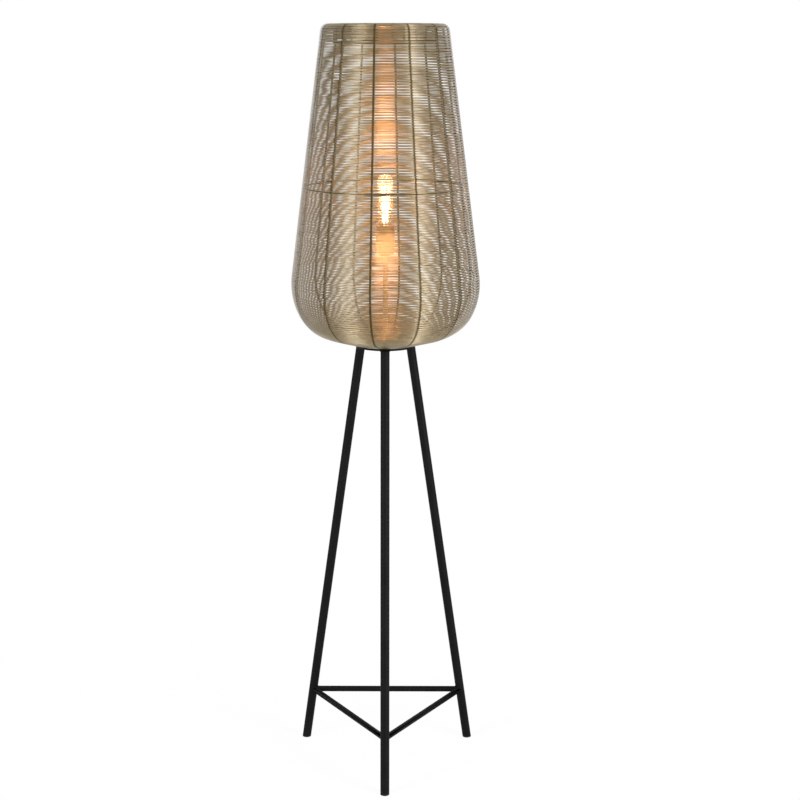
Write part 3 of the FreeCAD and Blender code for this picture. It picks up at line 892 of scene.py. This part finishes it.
@dataclass
class WireCage:
    """Ribs, rings, hoop, crossbar and the wire wound round them."""

    palette: Palette
    outline: CageOutline = field(default_factory=CageOutline)
    lengths_of_wire: int = 6
    turns_each: int = 48
    margin: float = 2.0 * MM
    joint: float = 1.2 * MM
    wire_radius: float = 0.88 * MM
    points_per_turn: int = 72
    turns_per_group: int = 5
    pairing: float = 0.37 * MM
    pairing_phase: float = math.pi / 4
    # How much of the drift and wobble goes into waves of so many per turn.
    drift: float = 0.6 * MM
    drift_shares: tuple[Pair, ...] = ((0.0, 0.5), (1.0, 0.6), (2.0, 0.3), (4.0, 0.2))
    wobble: float = 0.16 * MM
    wobble_shares: tuple[Pair, ...] = ((0.0, 0.5), (2.0, 0.7), (5.0, 0.6), (12.0, 0.5))
    flatness: float = 0.25
    settling: float = 6.0 * MM
    seed: int = 7

    def __post_init__(self) -> None:
        """Draw the winding's unevenness, with sets to spare past the last turn."""
        self.chance = random.Random(self.seed)
        self.turns = self.lengths_of_wire * self.turns_each
        groups = self.turns // self.turns_per_group
        self.group_waves = self._waves(groups + 3, self.drift, self.drift_shares)
        self.turn_waves = self._waves(self.turns + 2, self.wobble, self.wobble_shares)

    def build(self, nodes: dict[str, bpy.types.Object]) -> None:
        """Make and dress the cage.

        Args:
            nodes: The frame's nodes by name.
        """
        rods = tuple(name for name in sorted(nodes) if name.startswith("cage_"))
        self.palette.show(nodes, (*rods, "crossbar"), "brass", Slot.RIB_BRASS)
        for index in range(self.lengths_of_wire):
            self._wind(index)
        LOG.info("cage: %d lengths of wire, %d turns each", self.lengths_of_wire, self.turns_each)

    def _waves(self, count: int, spread: float, shares: tuple[Pair, ...]) -> list[list[tuple]]:
        """Random waves round the cage.

        Args:
            count: How many sets of waves.
            spread: Metres that the amplitudes are measured by.
            shares: Waves per turn, with their share of the spread.

        Returns:
            For each set its waves: amplitude, waves per turn and phase.
        """
        sets = []
        for _ in range(count):
            waves = []
            for times, share in shares:
                amplitude = self.chance.gauss(0, spread * share)
                waves.append((amplitude, times, self.chance.uniform(0, math.tau)))
            sets.append(waves)
        return sets

    @staticmethod
    def _blend(sets: list, place: float, turn: float) -> float:
        """The waves at a place between two sets.

        Args:
            sets: The sets of waves.
            place: Number of the set, with its fraction.
            turn: Turns from the wire's start.

        Returns:
            Metres along the outline.
        """
        whole = int(place)
        ease = (place - whole) ** 2 * (3 - 2 * (place - whole))
        total = 0.0
        for number, weight in ((whole, 1 - ease), (whole + 1, ease)):
            for amplitude, times, phase in sets[number]:
                total += weight * amplitude * math.cos(times * math.tau * turn + phase)
        return total

    def _slip(self, turn: float) -> float:
        """How far the wire lies off its even place along the outline.

        Args:
            turn: Turns from the wire's start.

        Returns:
            Metres along the outline.
        """
        paired = self.pairing * math.sin(math.pi * turn + math.pi / 4)
        grouped = self._blend(self.group_waves, turn / self.turns_per_group, turn)
        return paired + grouped + self._blend(self.turn_waves, turn, turn)

    def _point(self, turn: float) -> Vector:
        """A point on the wire's axis.

        Args:
            turn: Turns from the wire's start.

        Returns:
            The point.
        """
        covered = self.outline.length - 2 * self.margin
        even = self.margin + covered * turn / self.turns
        to_end = min(even - self.margin, covered + self.margin - even)
        loose = max(min(1.0, to_end / self.settling), 0.0)
        radius, height = self.outline.at(even + self._slip(turn) * loose)
        panel = math.tau / RIB_COUNT
        from_middle = (math.tau * turn) % panel - panel / 2
        radius *= 1 - self.flatness * (1 - math.cos(panel / 2) / math.cos(from_middle))
        angle = RIB_AZIMUTH + math.tau * turn
        return Vector((radius * math.cos(angle), radius * math.sin(angle), height))

    def _wind(self, index: int) -> None:
        """Make one length of wire as a tube along its axis.

        Args:
            index: Its place in the winding, from the collar.
        """
        trim = self.joint / 2 / (math.tau * self.outline.at(self.margin)[0])
        start = index * self.turns_each + trim
        turned = self.turns_each - 2 * trim
        steps = self.turns_each * self.points_per_turn
        axis = [self._point(start + turned * step / steps) for step in range(steps + 1)]
        piece = Tube(f"wound_wire_{index + 1}", self.wire_radius).build([axis])
        self.palette.settle(piece, Body.LAMP, Slot.WIRE_BRASS, f"wire_winding_{index + 1}")


# ---------------------------------------------------------------- stand


@dataclass
class Stand:
    """Tripod, plate, feet and the welds between them."""

    palette: Palette
    leg_radius: float = 9.0 * MM
    floor_radius: float = 200.0 * MM
    top_radius: float = 57.5 * MM
    top_height: float = 877.0 * MM
    leg_azimuth: float = math.radians(269.2)
    stretcher_height: float = 112.0 * MM
    stretcher_radius: float = 6.0 * MM
    weld_radius: float = 1.3 * MM
    weld_points: int = 40
    weld_ripple: float = 0.12
    legs: tuple[str, ...] = ("front", "right", "left")

    def build(self, nodes: dict[str, bpy.types.Object]) -> None:
        """Dress the stand and add its welds.

        Args:
            nodes: The frame's nodes by name.
        """
        feet = tuple(name for name in sorted(nodes) if name.startswith("foot_"))
        tubes = tuple(name for name in sorted(nodes) if name.startswith(("leg_", "stretcher_")))
        self.palette.show(nodes, feet, "cap", Slot.BLACK_PLASTIC)
        self.palette.show(nodes, (*tubes, "top_plate"), "coated", Slot.BLACK_STEEL)
        for index, leg in enumerate(self.legs):
            self._weld(f"weld_{leg}_plate", self._plate_seam(index))
            self._weld(f"weld_{leg}_stretcher_a", self._stretcher_seam(index, index + 1))
            self._weld(f"weld_{leg}_stretcher_b", self._stretcher_seam(index, index - 1))
        LOG.info("stand dressed")

    def _leg_point(self, index: int, height: float) -> Vector:
        """A point on a leg's axis.

        Args:
            index: The leg's number, from the front and round to the right.
            height: Metres above the floor.

        Returns:
            The point.
        """
        share = height / self.top_height
        radius = self.floor_radius + (self.top_radius - self.floor_radius) * share
        angle = self.leg_azimuth + math.tau * index / len(self.legs)
        return Vector((radius * math.cos(angle), radius * math.sin(angle), height))

    def _leg_way(self, index: int) -> Vector:
        """Unit vector up along a leg.

        Args:
            index: The leg's number.

        Returns:
            The direction.
        """
        return (self._leg_point(index, self.top_height) - self._leg_point(index, 0.0)).normalized()

    def _round(self, first: Vector, second: Vector) -> list[Vector]:
        """Points round a unit circle.

        Args:
            first: Unit vector to the first point.
            second: Unit vector square to it.

        Returns:
            As many points as a weld has.
        """
        angles = [math.tau * step / self.weld_points for step in range(self.weld_points)]
        return [first * math.cos(angle) + second * math.sin(angle) for angle in angles]

    def _plate_seam(self, index: int) -> list[Vector]:
        """Points round the weld between a leg and the plate's underside.

        Args:
            index: The leg's number.

        Returns:
            The points, on the plate's underside.
        """
        way = self._leg_way(index)
        side = way.cross(UP).normalized()
        middle = self._leg_point(index, self.top_height)
        seam = []
        for offset in self._round(side, side.cross(way)):
            spot = middle + offset * self.leg_radius
            seam.append(spot + way * ((self.top_height - spot.z) / way.z))
        return seam

    def _stretcher_seam(self, index: int, other: int) -> list[Vector]:
        """Points round the weld between a stretcher's end and a leg.

        Args:
            index: The leg at the weld.
            other: The leg at the stretcher's other end.

        Returns:
            The points, on the leg's surface.
        """
        start = self._leg_point(index, self.stretcher_height)
        finish = self._leg_point(other % len(self.legs), self.stretcher_height)
        away = (finish - start).normalized()
        way = self._leg_way(index)
        square = away - way * away.dot(way)
        seam = []
        for outward in self._round(UP, away.cross(UP)):
            offset = outward * self.stretcher_radius
            flat = offset - way * offset.dot(way)
            half = flat.dot(square) / square.dot(square)
            rest = (flat.dot(flat) - self.leg_radius**2) / square.dot(square)
            seam.append(start + offset + away * (math.sqrt(max(half * half - rest, 0.0)) - half))
        return seam

    def _weld(self, name: str, seam: list[Vector]) -> None:
        """Lay a rippled bead along a closed seam.

        Args:
            name: The bead's name.
            seam: Points along the seam.
        """
        bead = Tube(name, self.weld_radius, closed=True, ripple=self.weld_ripple).build([seam])
        self.palette.settle(bead, Body.LAMP, Slot.BLACK_STEEL)


# ---------------------------------------------------------------- lamp holder and bulb


@dataclass
class LampHolder:
    """The brass holder, the threaded tube and its nuts and washers."""

    palette: Palette
    zinc: ClassVar[tuple[str, ...]] = (
        "threaded_tube",
        "plate_nuts",
        "plate_washers",
        "crossbar_nuts",
        "holder_locknut",
    )
    brass: ClassVar[tuple[str, ...]] = (
        "holder_cap",
        "holder_sleeve",
        "holder_ring",
        "holder_screw_shell",
        "holder_contact",
    )

    def build(self, nodes: dict[str, bpy.types.Object]) -> None:
        """Dress the holder and the tube.

        Args:
            nodes: The frame's nodes by name.
        """
        self.palette.show(nodes, self.zinc, "finished", Slot.ZINC_STEEL)
        self.palette.show(nodes, ("cord_bushing",), "finished", Slot.BLACK_PLASTIC)
        self.palette.show(nodes, self.brass, "finished", Slot.HOLDER_BRASS)
        self.palette.show(nodes, ("holder_core",), "finished", Slot.PORCELAIN)
        LOG.info("lamp holder dressed")


@dataclass
class Bulb:
    """The tubular bulb with its lit filaments, a bundle that opens towards the top."""

    palette: Palette
    filaments: int = 6
    filament_radius: float = 1.0 * MM
    filament_resolution: int = 3
    low_circle: float = 3.2 * MM
    high_circle: float = 7.6 * MM
    twist: float = math.radians(30.0)
    points: int = 9
    # Where the glow lights stand, as shares of the filaments' height, and their power.
    glow_spots: tuple[Pair, ...] = ((0.30, 2.9), (0.64, 1.3), (0.95, 2.3))
    glow_colour: Colour = (1.0, 0.43, 0.15)
    glow_radius: float = 22.0 * MM
    parts: ClassVar[dict[Slot, tuple[str, ...]]] = {
        Slot.CLEAR_GLASS: ("bulb_glass",),
        Slot.STEM_GLASS: ("bulb_stem",),
        Slot.BULB_METAL: ("bulb_support_wires", "bulb_cap", "bulb_button"),
        Slot.BLACK_GLASS: ("bulb_insulator",),
    }

    def build(self, nodes: dict[str, bpy.types.Object]) -> None:
        """Dress the bulb and light it.

        Args:
            nodes: The frame's nodes by name.
        """
        for slot, names in self.parts.items():
            self.palette.show(nodes, names, "finished", slot, Body.BULB)
        (_, _, low), (_, _, high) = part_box("bulb_filaments")
        self._filaments(low, high)
        self._glow(low, high)
        LOG.info("bulb dressed")

    def _glow(self, low: float, high: float) -> None:
        """Spread the filaments' warm light over their height, so that the wires show it softly.

        Args:
            low: Height of the filaments' lower ends.
            high: Height of their upper ends.
        """
        for number, (share, power) in enumerate(self.glow_spots):
            data = bpy.data.lights.new(f"bulb_glow_{number + 1}", "POINT")
            data.color = self.glow_colour
            data.energy = power
            data.shadow_soft_size = self.glow_radius
            light = add_object(data.name, data)
            light.location = (0.0, 0.0, low + (high - low) * share)
            light.visible_camera = False
            light.visible_transmission = False
            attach(light, Body.BULB.value)

    def _filaments(self, low: float, high: float) -> None:
        """Make the sticks, which lean outwards and round a little on their way up.

        Args:
            low: Height of their lower ends.
            high: Height of their upper ends.
        """
        sticks = []
        for number in range(self.filaments):
            stick = []
            for step in range(self.points):
                share = step / (self.points - 1)
                circle = self.low_circle + (self.high_circle - self.low_circle) * share
                angle = math.tau * number / self.filaments + self.twist * share
                height = low + (high - low) * share
                stick.append(Vector((circle * math.cos(angle), circle * math.sin(angle), height)))
            sticks.append(stick)
        tube = Tube("filament_bundle", self.filament_radius, self.filament_resolution)
        self.palette.settle(tube.build(sticks), Body.BULB, Slot.FILAMENT, "bulb_filaments")


# ---------------------------------------------------------------- studio


@dataclass(frozen=True)
class Softbox:
    """A tall soft light that faces the lamp's axis."""

    name: str
    azimuth: float
    distance: float
    height: float
    width: float
    tall: float
    power: float

    def build(self) -> None:
        """Add the light; its azimuth is in degrees from the camera's side, round to the right."""
        data = bpy.data.lights.new(self.name, "AREA")
        data.shape = "RECTANGLE"
        data.size = self.width
        data.size_y = self.tall
        data.energy = self.power
        light = add_object(self.name, data)
        angle = math.radians(self.azimuth)
        across, along = math.sin(angle) * self.distance, -math.cos(angle) * self.distance
        place = Vector((across, along, self.height))
        aim = Vector((0.0, 0.0, self.height)) - place
        turn = aim.to_track_quat("-Z", "Y").to_matrix().to_4x4()
        light.matrix_world = Matrix.Translation(place) @ turn


@dataclass
class Studio:
    """White floor and surroundings, two tall softboxes and the photograph's camera.

    The camera's pitch and yaw are in degrees.
    """

    camera_place: Vector = field(default_factory=lambda: Vector((0.0, -3.5776, 1.5331)))
    lens: float = 81.37
    sensor_width: float = 36.0
    clip_end: float = 100.0
    pitch: float = 12.108
    yaw: float = 0.468
    floor_size: float = 30.0
    floor_colours: tuple[Colour, ...] = ((0.92, 0.92, 0.92), (0.96, 0.96, 0.96))
    speckle_scale: float = 6.0
    shadow_reach: Pair = (0.2, 1.1)
    shadow_share: float = 0.94
    dim_level: float = 0.55
    softboxes: tuple[Softbox, ...] = (
        Softbox(
            "left_strip", azimuth=-46.0, distance=2.6, height=1.3, width=0.55, tall=2.6, power=58.0
        ),
        Softbox(
            "right_strip", azimuth=47.5, distance=2.6, height=1.3, width=0.95, tall=2.6, power=92.0
        ),
    )

    def build(self) -> None:
        """Set up the studio."""
        self._floor()
        self._world()
        for softbox in self.softboxes:
            softbox.build()
        self._camera()
        bpy.context.scene.view_settings.view_transform = "Standard"
        LOG.info("studio ready")

    @staticmethod
    def _seen(shader: Shader) -> Value:
        """Tell what is looked at from what only gives light.

        Args:
            shader: Where the nodes go.

        Returns:
            1 for rays from the camera, a mirror or a glass, else 0.
        """
        path = shader.node("ShaderNodeLightPath")
        mirrored = path.output("Is Glossy Ray") + path.output("Is Transmission Ray")
        return (path.output("Is Camera Ray") + mirrored).combine("MINIMUM", 1.0)

    def _floor(self) -> None:
        """A pale floor that keeps the lamp's soft shadow."""
        deselect_all()
        bpy.ops.mesh.primitive_plane_add(size=self.floor_size, location=(0.0, 0.0, 0.0))
        floor = bpy.context.object
        floor.name = "studio_floor"
        shader = Shader(bpy.data.materials.new("studio_floor_white"))
        colour = shader.ramp(shader.noise(self.speckle_scale), (0.0, 1.0), self.floor_colours)
        diffuse = shader.node("ShaderNodeBsdfDiffuse", None, {"Color": colour})
        glow = shader.node("ShaderNodeEmission", None, {"Color": WHITE, "Strength": 1.0})
        spot = {0: shader.place()}
        away = shader.node("ShaderNodeVectorMath", {"operation": "LENGTH"}, spot).output("Value")
        share = shader.span(away, self.shadow_reach, (self.shadow_share, 1.0), smooth=True)
        inputs = {0: self._seen(shader) * share, 1: diffuse, 2: glow}
        mixed = shader.node("ShaderNodeMixShader", None, inputs)
        shader.node("ShaderNodeOutputMaterial", None, {"Surface": mixed})
        floor.data.materials.append(shader.block)

    def _world(self) -> None:
        """White to the camera, mirrors and glass; softer as a light."""
        shader = Shader(bpy.data.worlds.new("studio_world"))
        level = shader.span(self._seen(shader), (0.0, 1.0), (self.dim_level, 1.0))
        surface = shader.node("ShaderNodeBackground", None, {"Color": WHITE, "Strength": level})
        shader.node("ShaderNodeOutputWorld", None, {"Surface": surface})
        bpy.context.scene.world = shader.block

    def _camera(self) -> None:
        """The camera at the photograph's place, looking down a little."""
        data = bpy.data.cameras.new("photo_camera")
        data.lens = self.lens
        data.sensor_width = self.sensor_width
        data.sensor_fit = "HORIZONTAL"
        data.clip_end = self.clip_end
        camera = add_object("photo_camera", data)
        camera.location = self.camera_place
        camera.rotation_euler = (math.radians(90.0 - self.pitch), 0.0, math.radians(-self.yaw))
        bpy.context.scene.camera = camera


def main() -> None:
    """Load the frame, and build the lamp's looks and the studio."""
    logging.basicConfig(level=logging.INFO, format="%(message)s")
    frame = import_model()
    nodes = frame["nodes"]
    palette = Palette()
    Stand(palette).build(nodes)
    WireCage(palette).build(nodes)
    LampHolder(palette).build(nodes)
    Bulb(palette).build(nodes)
    Studio().build()
    deselect_all()


if __name__ == "__main__":
    main()
